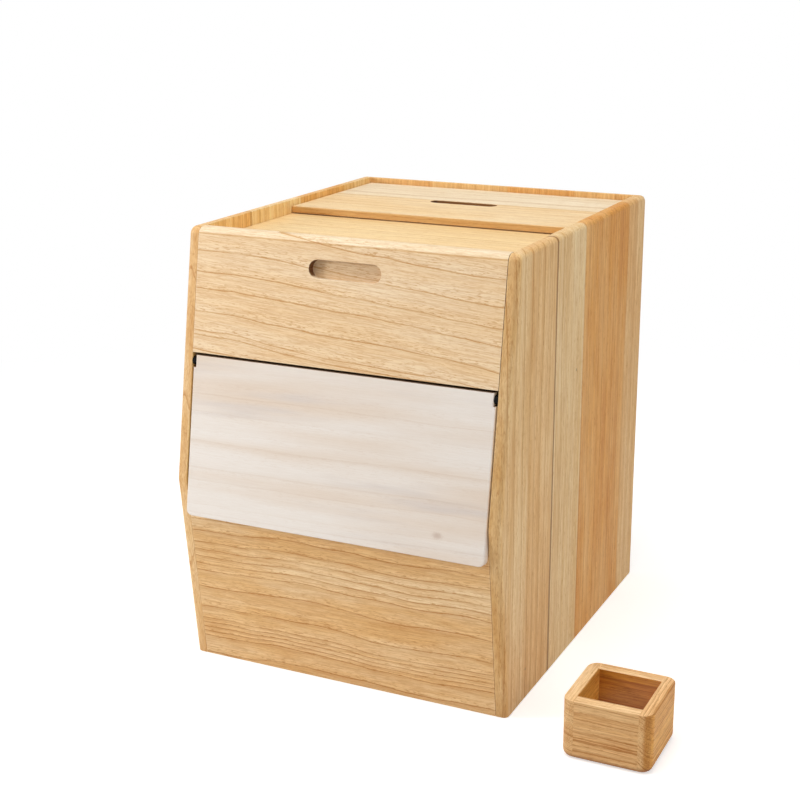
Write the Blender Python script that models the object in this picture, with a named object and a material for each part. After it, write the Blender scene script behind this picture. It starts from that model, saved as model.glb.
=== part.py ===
"""Wooden rice storage box: leaning front with a scoop flap, sliding lid and a loose measuring cup.

Metres, +Z up. The origin is at the middle of the box's underside, and the front faces -Y.
"""

import math

import bmesh
import bpy
from mathutils import Matrix, Vector

# Case
WIDTH = 0.350
DEPTH = 0.428
HEIGHT = 0.451
BREAK_HEIGHT = 0.200
TOP_SETBACK = 0.039
FOOT_SETBACK = 0.027
SEAM_SETBACK = 0.139
SIDE_THICKNESS = 0.0115
FRONT_THICKNESS = 0.0125
BACK_THICKNESS = 0.0115
BOTTOM_THICKNESS = 0.011
ARRIS_RADIUS = 0.0055
LIP_RADIUS = 0.008
ROUND_STEPS = 4

# Tray, lid and the rails that carry the lid
TRAY_DEPTH = 0.0145
TOP_BOARD_THICKNESS = 0.009
LID_SETBACK = 0.2235
LID_THICKNESS = 0.0078
LID_LAP = 0.015
LID_SIDE_GAP = 0.0015
LID_RUNNING_GAP = 0.0006
LID_EDGE_RADIUS = 0.0015
RAIL_WIDTH = 0.010
RAIL_HEIGHT = 0.012

# Finger recess of the front and finger slot of the lid
RECESS_LENGTH = 0.077
RECESS_WIDTH = 0.018
RECESS_DEPTH = 0.0085
RECESS_DROP = 0.030
SLOT_LENGTH = 0.078
SLOT_WIDTH = 0.018
SLOT_DEPTH = 0.005
PILL_STEPS = 8

# Inner baffle, and the sill over which the rice is scooped
BAFFLE_THICKNESS = 0.009
BAFFLE_CLEARANCE = 0.095
HOUSING_WEB = 0.0012
SILL_DROP = 0.002

# Flap and its pivots
FLAP_REACH = 0.128
FLAP_OVERHANG = 0.035
FLAP_THICKNESS = 0.009
FLAP_SIDE_GAP = 0.0018
FLAP_TOP_GAP = 0.002
FLAP_CORNER_RADIUS = 0.006
FLAP_EDGE_RADIUS = 0.0012
NOTCH_WIDTH = 0.0027
NOTCH_HEIGHT = 0.0125
PIVOT_DROP = 0.0065
PIN_DIAMETER = 0.003
PIN_IN_SIDE = 0.007
PIN_IN_FLAP = 0.014
PIN_CLEARANCE = 0.0003
WASHER_DIAMETER = 0.0084

# Dowels of the glued joints
DOWEL_DIAMETER = 0.005
DOWEL_IN_SIDE = 0.007
DOWEL_IN_PANEL = 0.016
SEAM_DOWEL_LENGTH = 0.028
DOWEL_INSET = 0.028
ROUND_SIDES = 10

# Measuring cup, standing on the floor beside the box
CUP_WIDTH = 0.085
CUP_HEIGHT = 0.0585
CUP_WALL = 0.0122
CUP_FLOOR = 0.0095
CUP_CORNER_RADIUS = 0.011
CUP_FOOT_RADIUS = 0.007
CUP_RIM_RADIUS = 0.0012
CUP_X = 0.287
CUP_Y = -0.190

# Gap that glued and housed pieces keep to each other
JOINT_GAP = 0.0003

# How far a cutter runs past the face that it opens
CUT_PAST = 0.002

# Colour, roughness and metallic value of each kind of piece
PAULOWNIA_FRONT = ((0.78, 0.55, 0.31), 0.55, 0.0)
PAULOWNIA_LOWER = ((0.68, 0.42, 0.20), 0.55, 0.0)
PAULOWNIA_SIDE = ((0.62, 0.40, 0.20), 0.55, 0.0)
PAULOWNIA_TOP = ((0.80, 0.56, 0.30), 0.55, 0.0)
PAULOWNIA_INSIDE = ((0.70, 0.48, 0.25), 0.60, 0.0)
WHITEWASH = ((0.76, 0.67, 0.59), 0.50, 0.0)
CUP_WOOD = ((0.56, 0.32, 0.13), 0.50, 0.0)
DOWEL_WOOD = ((0.60, 0.40, 0.20), 0.60, 0.0)
STEEL = ((0.60, 0.60, 0.62), 0.30, 1.0)
BLACK_NYLON = ((0.015, 0.015, 0.015), 0.45, 0.0)

# Words and signs of the two sides
SIDES = (("left", -1), ("right", 1))

# Places worked out from the sizes above
FRONT_Y = -DEPTH / 2
BACK_Y = DEPTH / 2
SEAM_Y = FRONT_Y + SEAM_SETBACK
OUTER_X = WIDTH / 2
INNER_X = OUTER_X - SIDE_THICKNESS
PANEL_X = INNER_X - JOINT_GAP
TRAY_Z = HEIGHT - TRAY_DEPTH
TOP_BOARD_UNDERSIDE = TRAY_Z - TOP_BOARD_THICKNESS
BACK_FACE_Y = BACK_Y - BACK_THICKNESS
LID_FRONT_Y = FRONT_Y + LID_SETBACK
TOP_BOARD_REAR_Y = LID_FRONT_Y + LID_LAP
HOUSING_DEPTH = (SIDE_THICKNESS - DOWEL_DIAMETER) / 2 - HOUSING_WEB

BREAK = Vector((FRONT_Y, BREAK_HEIGHT))
TOP = Vector((FRONT_Y + TOP_SETBACK, HEIGHT))
FOOT = Vector((FRONT_Y + FOOT_SETBACK, 0.0))
UPPER_ALONG = (TOP - BREAK).normalized()
LOWER_ALONG = (FOOT - BREAK).normalized()
UPPER_INWARD = Vector((UPPER_ALONG.y, -UPPER_ALONG.x))
LOWER_INWARD = Vector((-LOWER_ALONG.y, LOWER_ALONG.x))
UPPER_LEAN = math.atan2(UPPER_ALONG.x, UPPER_ALONG.y)
SLOPE_LENGTH = (TOP - BREAK).length
LOWER_LENGTH = (FOOT - BREAK).length


# Places on the front's two slopes, as (y, z)
def upper_point(along, inward=0.0):
    """Point at a distance up the upper slope from the break line, and inward from its face."""
    return BREAK + UPPER_ALONG * along + UPPER_INWARD * inward


def lower_point(along, inward=0.0):
    """Point at a distance down the lower slope from the break line, and inward from its face."""
    return BREAK + LOWER_ALONG * along + LOWER_INWARD * inward


def upper_at_height(z, inward=0.0):
    """Point at height z on the upper slope's face moved inward."""
    along = (z - upper_point(0.0, inward).y) / UPPER_ALONG.y
    return upper_point(along, inward)


def lower_at_height(z, inward=0.0):
    """Point at height z on the lower slope's face moved inward."""
    along = (z - lower_point(0.0, inward).y) / LOWER_ALONG.y
    return lower_point(along, inward)


def crossing(start_a, along_a, start_b, along_b):
    """Point where two lines in a plane cross."""
    turn = along_a.cross(along_b)
    return start_a + along_a * ((start_b - start_a).cross(along_b) / turn)


def rounded_corner(before, corner, after, radius, steps=ROUND_STEPS):
    """Arc of the given radius that replaces a corner of an outline."""
    to_before = (before - corner).normalized()
    to_after = (after - corner).normalized()
    half_angle = to_before.angle(to_after) / 2
    tangent = radius / math.tan(half_angle)
    middle = (to_before + to_after).normalized()
    centre = corner + middle * (radius / math.sin(half_angle))
    first = corner + to_before * tangent - centre
    last = corner + to_after * tangent - centre
    sweep = first.angle_signed(last)
    turns = (Matrix.Rotation(-sweep * step / steps, 2) for step in range(steps + 1))
    return [centre + turn @ first for turn in turns]


def spread(low, high, count):
    """Evenly spaced places between two ends, kept clear of them by the dowel inset."""
    first = low + DOWEL_INSET
    pitch = (high - low - 2 * DOWEL_INSET) / (count - 1)
    return [first + pitch * index for index in range(count)]


# Meshes
def add_node(name, shape, look):
    """Object of a bmesh shape, with its own material."""
    colour, roughness, metallic = look
    material = bpy.data.materials.new(name)
    material.use_nodes = True
    principled = material.node_tree.nodes["Principled BSDF"]
    principled.inputs["Base Color"].default_value = (*colour, 1.0)
    principled.inputs["Roughness"].default_value = roughness
    principled.inputs["Metallic"].default_value = metallic
    obj = add_object(name, shape)
    obj.data.materials.append(material)
    return obj


def add_object(name, shape):
    """Object of a bmesh shape, with its faces pointing out."""
    bmesh.ops.recalc_face_normals(shape, faces=shape.faces[:])
    mesh = bpy.data.meshes.new(name)
    shape.to_mesh(mesh)
    shape.free()
    obj = bpy.data.objects.new(name, mesh)
    bpy.context.scene.collection.objects.link(obj)
    return obj


def add_cutter(name, shape):
    """Helper solid that only cuts other pieces."""
    obj = add_object(name, shape)
    obj.hide_render = True
    obj.display_type = "WIRE"
    return obj


def cut(obj, cutter, operation="DIFFERENCE"):
    """Boolean of one object with a cutter."""
    modifier = obj.modifiers.new(cutter.name, "BOOLEAN")
    modifier.operation = operation
    modifier.object = cutter
    modifier.solver = "EXACT"


def shade_round(obj):
    """Smooth shading that keeps the sharp edges."""
    obj.data.shade_smooth()
    obj.data.set_sharp_from_angle(angle=math.radians(35))


def prism(outline, place, offset):
    """Solid made by moving a flat outline along an offset; place turns outline points into 3-D."""
    shape = bmesh.new()
    face = shape.faces.new([shape.verts.new(place(point)) for point in outline])
    moved = bmesh.ops.extrude_face_region(shape, geom=[face])["geom"]
    verts = [item for item in moved if isinstance(item, bmesh.types.BMVert)]
    bmesh.ops.translate(shape, verts=verts, vec=offset)
    return shape


def side_to_side(outline, half_width=PANEL_X):
    """Solid with a (y, z) outline that spans between the sides."""
    return prism(outline, lambda p: Vector((-half_width, p.x, p.y)), Vector((2 * half_width, 0, 0)))


def block(low, high):
    """Box between two corners."""
    low, high = Vector(low), Vector(high)
    shape = bmesh.new()
    size = Matrix.Diagonal((*(high - low), 1.0))
    bmesh.ops.create_cube(shape, size=1.0, matrix=Matrix.Translation((low + high) / 2) @ size)
    return shape


def rod(shape, start, end, diameter, sides=ROUND_SIDES):
    """Adds a closed cylinder from start to end to a shape."""
    start, end = Vector(start), Vector(end)
    turn = (end - start).to_track_quat("Z", "Y").to_matrix().to_4x4()
    bmesh.ops.create_cone(
        shape,
        cap_ends=True,
        segments=sides,
        radius1=diameter / 2,
        radius2=diameter / 2,
        depth=(end - start).length,
        matrix=Matrix.Translation((start + end) / 2) @ turn,
    )


def pill(length, width, place, offset):
    """Solid with a round-ended slot's outline, centred on the outline's origin."""
    straight = (length - width) / 2
    radius = width / 2
    outline = []
    for end, first_angle in ((1, -math.pi / 2), (-1, math.pi / 2)):
        for step in range(PILL_STEPS + 1):
            angle = first_angle + math.pi * step / PILL_STEPS
            outline.append(Vector((end * straight + radius * math.cos(angle), radius * math.sin(angle))))
    return prism(outline, place, offset)


def round_edges(shape, wanted, radius, steps=ROUND_STEPS):
    """Rounds the edges for which wanted(end, other_end) is true."""
    edges = [edge for edge in shape.edges if wanted(edge.verts[0].co, edge.verts[1].co)]
    bmesh.ops.bevel(
        shape,
        geom=edges,
        offset=radius,
        offset_type="OFFSET",
        segments=steps,
        profile=0.5,
        affect="EDGES",
        clamp_overlap=True,
    )


def near(value, target, reach=1e-5):
    """Whether two coordinates are the same place."""
    return abs(value - target) < reach


# Sides, each of a front board and a rear board that meet at an upright seam
def side_board(name, outline, sign):
    """Side board with its outer arris rounded, except along the floor and the seam."""
    start = Vector((sign * INNER_X, 0, 0))
    shape = prism(outline, lambda p: start + Vector((0, p.x, p.y)), Vector((sign * SIDE_THICKNESS, 0, 0)))

    def is_outer_arris(a, b):
        on_outer_face = near(a.x, sign * OUTER_X) and near(b.x, sign * OUTER_X)
        on_floor = near(a.z, 0.0) and near(b.z, 0.0)
        on_seam = abs(a.y - SEAM_Y) < JOINT_GAP and abs(b.y - SEAM_Y) < JOINT_GAP
        return on_outer_face and not on_floor and not on_seam

    round_edges(shape, is_outer_arris, ARRIS_RADIUS)
    board = add_node(name, shape, PAULOWNIA_SIDE)
    shade_round(board)
    return board


def front_side_board(name, sign):
    """Front board of a side, with the bent front edge."""
    seam = SEAM_Y - JOINT_GAP / 2
    seam_top = Vector((seam, HEIGHT))
    outline = [FOOT, BREAK, *rounded_corner(BREAK, TOP, seam_top, LIP_RADIUS), seam_top, Vector((seam, 0.0))]
    return side_board(name, outline, sign)


def rear_side_board(name, sign):
    """Rear board of a side, housed at its front edge for the baffle."""
    seam = SEAM_Y + JOINT_GAP / 2
    seam_top = Vector((seam, HEIGHT))
    back_top = Vector((BACK_Y, HEIGHT))
    back_foot = Vector((BACK_Y, 0.0))
    corner = rounded_corner(seam_top, back_top, back_foot, LIP_RADIUS)
    board = side_board(name, [Vector((seam, 0.0)), seam_top, *corner, back_foot], sign)
    deep = sign * (INNER_X + HOUSING_DEPTH)
    open_side = sign * (INNER_X - CUT_PAST)
    housing = block(
        (min(deep, open_side), SEAM_Y - CUT_PAST, BAFFLE_CLEARANCE - JOINT_GAP),
        (max(deep, open_side), SEAM_Y + BAFFLE_THICKNESS + 2 * JOINT_GAP, TOP_BOARD_UNDERSIDE),
    )
    cut(board, add_cutter(name + "_housing", housing))
    return board


# Panels that span between the sides
def front_upper_panel():
    """Upper front, with a rounded lip along its top and a blind finger recess."""
    lower_edge = FLAP_REACH + FLAP_TOP_GAP
    back_top = upper_at_height(HEIGHT, FRONT_THICKNESS)
    lip = rounded_corner(BREAK, TOP, back_top, LIP_RADIUS)
    outline = [upper_point(lower_edge), *lip, back_top, upper_point(lower_edge, FRONT_THICKNESS)]
    panel = add_node("front_upper_panel", side_to_side(outline), PAULOWNIA_FRONT)
    shade_round(panel)
    middle = SLOPE_LENGTH - RECESS_DROP

    def place(point):
        y, z = upper_point(middle + point.y, -CUT_PAST)
        return Vector((point.x, y, z))

    inward = UPPER_INWARD * (RECESS_DEPTH + CUT_PAST)
    recess = pill(RECESS_LENGTH, RECESS_WIDTH, place, Vector((0, inward.x, inward.y)))
    cut(panel, add_cutter("finger_recess", recess))
    return panel


def front_lower_panel():
    """Lower front, bevelled at its top to the plane of the flap's back."""
    flap_back = FLAP_THICKNESS + JOINT_GAP
    sill_height = BREAK_HEIGHT - SILL_DROP
    bevel_start = crossing(upper_point(0.0, flap_back), UPPER_ALONG, BREAK, LOWER_ALONG)
    outline = [
        FOOT,
        bevel_start,
        upper_at_height(sill_height, flap_back),
        lower_at_height(sill_height, FRONT_THICKNESS),
        lower_at_height(0.0, FRONT_THICKNESS),
    ]
    return add_node("front_lower_panel", side_to_side(outline), PAULOWNIA_LOWER)


def back_panel():
    """Back, as high as the sides, with the same rounding along its top."""
    back_top = Vector((BACK_Y, HEIGHT))
    front_top = Vector((BACK_FACE_Y, HEIGHT))
    back_foot = Vector((BACK_Y, 0.0))
    corner = rounded_corner(front_top, back_top, back_foot, LIP_RADIUS)
    outline = [Vector((BACK_FACE_Y, 0.0)), front_top, *corner, back_foot]
    panel = add_node("back_panel", side_to_side(outline), PAULOWNIA_SIDE)
    shade_round(panel)
    return panel


def bottom_board():
    """Floor of the box, flush with the lower edges of the sides."""
    front_inward = FRONT_THICKNESS + JOINT_GAP
    rear = BACK_FACE_Y - JOINT_GAP
    outline = [
        lower_at_height(0.0, front_inward),
        lower_at_height(BOTTOM_THICKNESS, front_inward),
        Vector((rear, BOTTOM_THICKNESS)),
        Vector((rear, 0.0)),
    ]
    return add_node("bottom_board", side_to_side(outline), PAULOWNIA_INSIDE)


def front_top_board():
    """Fixed part of the top, sunk below the sides and lapped by the lid."""
    front_inward = FRONT_THICKNESS + JOINT_GAP
    outline = [
        upper_at_height(TOP_BOARD_UNDERSIDE, front_inward),
        upper_at_height(TRAY_Z, front_inward),
        Vector((TOP_BOARD_REAR_Y, TRAY_Z)),
        Vector((TOP_BOARD_REAR_Y, TOP_BOARD_UNDERSIDE)),
    ]
    return add_node("front_top_board", side_to_side(outline), PAULOWNIA_TOP)


def inner_baffle():
    """Partition that keeps the rice back, open below for it to run under."""
    half_width = INNER_X + HOUSING_DEPTH - JOINT_GAP
    front = SEAM_Y + JOINT_GAP
    shape = block(
        (-half_width, front, BAFFLE_CLEARANCE),
        (half_width, front + BAFFLE_THICKNESS, TOP_BOARD_UNDERSIDE - JOINT_GAP),
    )
    return add_node("inner_baffle", shape, PAULOWNIA_INSIDE)


def lid_rails():
    """Rails on the two sides and the back, level with the fixed top board."""
    low = TRAY_Z - RAIL_HEIGHT
    front = TOP_BOARD_REAR_Y + JOINT_GAP
    rear = BACK_FACE_Y - JOINT_GAP
    inner = PANEL_X - RAIL_WIDTH
    rear_half = inner - JOINT_GAP
    add_node("lid_rail_left", block((-PANEL_X, front, low), (-inner, rear, TRAY_Z)), PAULOWNIA_INSIDE)
    add_node("lid_rail_right", block((inner, front, low), (PANEL_X, rear, TRAY_Z)), PAULOWNIA_INSIDE)
    rear_rail = block((-rear_half, rear - RAIL_WIDTH, low), (rear_half, rear, TRAY_Z))
    add_node("lid_rail_rear", rear_rail, PAULOWNIA_INSIDE)


# Lid, which slides forward over the fixed top board
def lid():
    """Sliding lid with a blind finger slot, its origin at the middle of its front edge."""
    half_width = INNER_X - LID_SIDE_GAP
    length = BACK_FACE_Y - LID_SIDE_GAP - LID_FRONT_Y
    shape = block((-half_width, 0, 0), (half_width, length, LID_THICKNESS))
    round_edges(shape, lambda a, b: near(a.z, LID_THICKNESS) and near(b.z, LID_THICKNESS), LID_EDGE_RADIUS, 2)
    board = add_node("lid", shape, PAULOWNIA_TOP)
    board.location = (0, LID_FRONT_Y, TRAY_Z + LID_RUNNING_GAP)
    shade_round(board)
    depth = SLOT_DEPTH + CUT_PAST

    def place(point):
        return Vector((point.x, length / 2 + point.y, LID_THICKNESS - SLOT_DEPTH))

    slot = add_cutter("lid_slot", pill(SLOT_LENGTH, SLOT_WIDTH, place, Vector((0, 0, depth))))
    slot.location = board.location
    cut(board, slot)
    return board


# Flap, hinged on two pins near its upper edge
def flap_pivot():
    """Empty on the hinge axis, leaning with the upper slope: local Z runs up it and local Y inward."""
    y, z = upper_point(FLAP_REACH - PIVOT_DROP, FLAP_THICKNESS / 2)
    pivot = bpy.data.objects.new("flap_axis", None)
    pivot.location = (0, y, z)
    pivot.rotation_euler = (-UPPER_LEAN, 0, 0)
    bpy.context.scene.collection.objects.link(pivot)
    return pivot


def flap(pivot):
    """Flap board: notched upper corners, rounded lower corners, eased front edges."""
    half = INNER_X - FLAP_SIDE_GAP
    neck = half - NOTCH_WIDTH
    high = PIVOT_DROP
    shoulder = PIVOT_DROP - NOTCH_HEIGHT
    low = PIVOT_DROP - FLAP_REACH - FLAP_OVERHANG
    front = -FLAP_THICKNESS / 2
    right_foot = Vector((half, low))
    left_foot = Vector((-half, low))
    right_shoulder = Vector((half, shoulder))
    left_shoulder = Vector((-half, shoulder))
    outline = [
        Vector((-neck, high)),
        Vector((neck, high)),
        Vector((neck, shoulder)),
        right_shoulder,
        *rounded_corner(right_shoulder, right_foot, left_foot, FLAP_CORNER_RADIUS),
        *rounded_corner(right_foot, left_foot, left_shoulder, FLAP_CORNER_RADIUS),
        left_shoulder,
        Vector((-neck, shoulder)),
    ]
    shape = prism(outline, lambda p: Vector((p.x, front, p.y)), Vector((0, FLAP_THICKNESS, 0)))
    round_edges(shape, lambda a, b: near(a.y, front) and near(b.y, front), FLAP_EDGE_RADIUS, 2)
    board = add_node("flap", shape, WHITEWASH)
    board.parent = pivot
    shade_round(board)
    return board


def flap_pins(pivot, board, sides):
    """Steel pins from the sides into the flap's ends, and the black washers between."""
    neck = INNER_X - FLAP_SIDE_GAP - NOTCH_WIDTH
    for word, sign in SIDES:
        outward = Vector((sign, 0, 0))
        gap = outward * JOINT_GAP
        inner_end = outward * (neck - PIN_IN_FLAP)
        outer_end = outward * (INNER_X + PIN_IN_SIDE)
        shaft = bmesh.new()
        rod(shaft, inner_end, outer_end, PIN_DIAMETER)
        pin = add_node("flap_pin_" + word, shaft, STEEL)
        ring = bmesh.new()
        rod(ring, outward * neck + gap, outward * INNER_X - gap, WASHER_DIAMETER, 2 * ROUND_SIDES)
        washer = add_node("flap_washer_" + word, ring, BLACK_NYLON)
        hole = bmesh.new()
        rod(hole, inner_end - gap, outer_end + gap, PIN_DIAMETER + 2 * PIN_CLEARANCE)
        bore = add_cutter("flap_pin_bore_" + word, hole)
        for obj in (pin, washer, bore):
            obj.parent = pivot
        for obj in (board, washer, sides[sign]):
            cut(obj, bore)
        shade_round(pin)
        shade_round(washer)


# Dowels
def dowels(name, ends, boards):
    """Like dowels, given as (start, end) pairs, with their holes in the boards that they join."""
    holes = bmesh.new()
    for number, (start, end) in enumerate(ends, 1):
        start, end = Vector(start), Vector(end)
        past = (end - start).normalized() * JOINT_GAP
        peg = bmesh.new()
        rod(peg, start, end, DOWEL_DIAMETER)
        shade_round(add_node(f"{name}_{number}", peg, DOWEL_WOOD))
        rod(holes, start - past, end + past, DOWEL_DIAMETER + 2 * JOINT_GAP)
    cutter = add_cutter(name + "_holes", holes)
    for board in boards:
        cut(board, cutter)


def side_dowel_ends(points):
    """Ends of the dowels that fix a panel's two ends to the sides at (y, z) points."""
    inner = PANEL_X - DOWEL_IN_PANEL
    outer = INNER_X + DOWEL_IN_SIDE
    return [((sign * inner, y, z), (sign * outer, y, z)) for sign in (-1, 1) for y, z in points]


def seam_dowel_ends():
    """Ends of the dowels that join the front and rear board of each side."""
    x = (INNER_X + OUTER_X) / 2
    reach = SEAM_DOWEL_LENGTH / 2
    heights = spread(0.0, HEIGHT, 3)
    return [((s * x, SEAM_Y - reach, z), (s * x, SEAM_Y + reach, z)) for s in (-1, 1) for z in heights]


def all_dowels(fronts, rears, upper, lower, back, bottom, top):
    """Dowels of every glued joint in the case."""
    front_boards = list(fronts.values())
    rear_boards = list(rears.values())
    both = front_boards + rear_boards
    mid_front = FRONT_THICKNESS / 2
    mid_back = BACK_FACE_Y + BACK_THICKNESS / 2
    mid_bottom = BOTTOM_THICKNESS / 2
    mid_top = TRAY_Z - TOP_BOARD_THICKNESS / 2
    upper_rows = spread(FLAP_REACH + FLAP_TOP_GAP, SLOPE_LENGTH - TRAY_DEPTH, 2)
    lower_rows = spread(FLAP_OVERHANG, LOWER_LENGTH, 2)
    top_rows = spread(upper_at_height(mid_top, FRONT_THICKNESS).x, TOP_BOARD_REAR_Y, 2)
    bottom_rows = spread(lower_at_height(mid_bottom, FRONT_THICKNESS).x, BACK_FACE_Y, 2)
    upper_points = [upper_point(row, mid_front) for row in upper_rows]
    lower_points = [lower_point(row, mid_front) for row in lower_rows]
    back_points = [(mid_back, z) for z in spread(0.0, HEIGHT, 2)]
    bottom_points = [(y, mid_bottom) for y in bottom_rows]
    top_points = [(y, mid_top) for y in top_rows]
    dowels("seam_dowel", seam_dowel_ends(), both)
    dowels("front_upper_dowel", side_dowel_ends(upper_points), front_boards + [upper])
    dowels("front_lower_dowel", side_dowel_ends(lower_points), front_boards + [lower])
    dowels("back_dowel", side_dowel_ends(back_points), rear_boards + [back])
    dowels("bottom_dowel", side_dowel_ends(bottom_points), both + [bottom])
    dowels("top_board_dowel", side_dowel_ends(top_points), both + [top])


# Measuring cup, of four walls round a floor
def cup_blank():
    """Outside of the whole cup: rounded upright corners, foot and rim."""
    half = CUP_WIDTH / 2
    shape = block((-half, -half, 0), (half, half, CUP_HEIGHT))
    round_edges(shape, lambda a, b: near(a.x, b.x) and near(a.y, b.y), CUP_CORNER_RADIUS)
    round_edges(shape, lambda a, b: near(a.z, 0.0) and near(b.z, 0.0), CUP_FOOT_RADIUS)
    round_edges(shape, lambda a, b: near(a.z, CUP_HEIGHT) and near(b.z, CUP_HEIGHT), CUP_RIM_RADIUS, 2)
    return add_cutter("cup_blank", shape)


def cup():
    """Cup pieces, each its part of the blank, parented to the cup's place on the floor."""
    origin = bpy.data.objects.new("cup_place", None)
    origin.location = (CUP_X, CUP_Y, 0)
    bpy.context.scene.collection.objects.link(origin)
    blank = cup_blank()
    blank.parent = origin
    past = CUP_WIDTH / 2 + CUT_PAST
    inner = CUP_WIDTH / 2 - CUP_WALL
    between = inner - JOINT_GAP
    high = CUP_HEIGHT + CUT_PAST
    walls = {
        "cup_wall_left": ((-past, -past, -CUT_PAST), (-inner, past, high)),
        "cup_wall_right": ((inner, -past, -CUT_PAST), (past, past, high)),
        "cup_wall_front": ((-between, -past, -CUT_PAST), (between, -inner, high)),
        "cup_wall_back": ((-between, inner, -CUT_PAST), (between, past, high)),
    }
    for name, (low_corner, high_corner) in walls.items():
        wall = add_node(name, block(low_corner, high_corner), CUP_WOOD)
        wall.parent = origin
        cut(wall, blank, "INTERSECT")
        shade_round(wall)
    base = add_node("cup_floor", block((-between, -between, 0), (between, between, CUP_FLOOR)), CUP_WOOD)
    base.parent = origin


def main():
    """Builds the whole object in an emptied scene."""
    for obj in list(bpy.data.objects):
        bpy.data.objects.remove(obj, do_unlink=True)
    fronts = {s: front_side_board("side_front_" + word, s) for word, s in SIDES}
    rears = {s: rear_side_board("side_rear_" + word, s) for word, s in SIDES}
    upper = front_upper_panel()
    lower = front_lower_panel()
    back = back_panel()
    bottom = bottom_board()
    top = front_top_board()
    inner_baffle()
    lid_rails()
    lid()
    pivot = flap_pivot()
    board = flap(pivot)
    flap_pins(pivot, board, fronts)
    all_dowels(fronts, rears, upper, lower, back, bottom, top)
    cup()
    bpy.context.view_layer.update()


main()
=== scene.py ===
"""Looks of the rice storage box and its measuring cup: wood finishes, fittings and a plain studio stage."""

import functools
import math
from collections import namedtuple
from dataclasses import dataclass, replace

import bpy
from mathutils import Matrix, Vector


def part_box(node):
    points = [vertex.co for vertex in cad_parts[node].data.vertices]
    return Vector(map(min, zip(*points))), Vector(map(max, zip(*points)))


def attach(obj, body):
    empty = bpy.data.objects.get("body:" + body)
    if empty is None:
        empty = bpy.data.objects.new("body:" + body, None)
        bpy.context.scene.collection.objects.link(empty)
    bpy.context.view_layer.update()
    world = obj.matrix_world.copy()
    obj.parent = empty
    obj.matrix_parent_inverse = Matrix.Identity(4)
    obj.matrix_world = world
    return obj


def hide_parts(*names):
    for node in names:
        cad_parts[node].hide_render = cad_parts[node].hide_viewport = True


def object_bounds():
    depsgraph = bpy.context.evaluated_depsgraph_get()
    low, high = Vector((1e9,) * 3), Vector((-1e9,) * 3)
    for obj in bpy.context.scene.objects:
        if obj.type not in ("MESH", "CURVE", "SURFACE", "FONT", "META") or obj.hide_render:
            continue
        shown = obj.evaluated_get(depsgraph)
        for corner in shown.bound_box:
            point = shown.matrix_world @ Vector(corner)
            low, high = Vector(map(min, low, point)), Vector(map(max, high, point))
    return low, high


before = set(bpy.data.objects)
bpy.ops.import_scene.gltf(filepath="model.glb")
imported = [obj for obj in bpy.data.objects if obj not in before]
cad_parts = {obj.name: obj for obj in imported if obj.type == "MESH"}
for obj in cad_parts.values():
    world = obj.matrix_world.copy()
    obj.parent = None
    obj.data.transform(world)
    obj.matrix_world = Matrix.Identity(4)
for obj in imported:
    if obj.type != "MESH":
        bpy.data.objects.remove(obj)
CAD_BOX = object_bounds()

bl_info = {
    "name": "Rice Storage Box Looks",
    "version": (1, 0, 0),
    "blender": (4, 5, 0),
    "location": "View3D > Sidebar > Rice Box",
    "description": "Wood finishes, fittings and studio stage of a rice storage box with its measuring cup",
    "category": "Object",
}

X, Y, Z = 0, 1, 2
WHITE = (1.0, 1.0, 1.0, 1.0)
FALLING = (1.0, 0.0)

# Which way the fibres of a board run: the turn that brings them onto the X axis of the grain.
FIBRES_ACROSS = (0.0, 0.0, 0.0)
FIBRES_UPRIGHT = (0.0, math.radians(90), 0.0)
FIBRES_FRONT_TO_BACK = (0.0, 0.0, math.radians(-90))


def linear(red, green, blue):
    """A colour written in the usual 0 to 255 steps, as the linear light that Blender keeps."""
    steps = (red / 255, green / 255, blue / 255)
    return tuple(s / 12.92 if s <= 0.04045 else ((s + 0.055) / 1.055) ** 2.4 for s in steps)


def colour(name, description, red, green, blue):
    """A colour that a user may change."""
    return bpy.props.FloatVectorProperty(
        name=name, description=description, subtype="COLOR", size=3, min=0, max=1,
        default=linear(red, green, blue))


def length(name, description, metres):
    """A length that a user may change."""
    return bpy.props.FloatProperty(
        name=name, description=description, unit="LENGTH", subtype="DISTANCE", min=0, precision=4,
        default=metres)


def ring(piece, boards, metres):
    """The distance between growth lines, that a user may change."""
    return length(f"{piece} ring", f"Distance between growth lines of {boards}", metres)


def angle(name, description, radians):
    """An angle that a user may change."""
    return bpy.props.FloatProperty(name=name, description=description, subtype="ANGLE", default=radians)


def power(name, description, watts):
    """A lamp's power that a user may change."""
    return bpy.props.FloatProperty(name=name, description=description, unit="POWER", min=0, default=watts)


class RiceBoxColours(bpy.types.PropertyGroup):
    """Colours of the boards and fittings."""

    front_upper: colour("Front upper board", "Pale wood of the board above the flap", 245, 222, 188)
    front_lower: colour("Front lower board", "Warmer wood of the board below the flap", 249, 222, 178)
    side: colour("Sides", "Palest wood of the upright side staves", 255, 233, 187)
    top_board: colour("Top board", "Wood of the fixed board on top", 252, 224, 170)
    lid: colour("Lid", "Palest wood of the lid, at its rear strip", 255, 240, 211)
    inside: colour("Inside", "Unfinished wood of the inner boards", 232, 190, 134)
    whitewash: colour("Whitewash", "Milky stain of the flap", 236, 228, 220)
    whitewash_blush: colour("Whitewash, blush", "Where wood shows through the flap's stain", 224, 204, 184)
    cup: colour("Cup", "Darker wood of the measuring cup", 246, 208, 151)
    dowel: colour("Dowels", "Wood of the hidden dowels", 214, 178, 132)
    steel: colour("Steel", "Hinge pins of the flap", 176, 178, 180)
    nylon: colour("Nylon", "Black washers beside the flap", 9, 8, 8)


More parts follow.
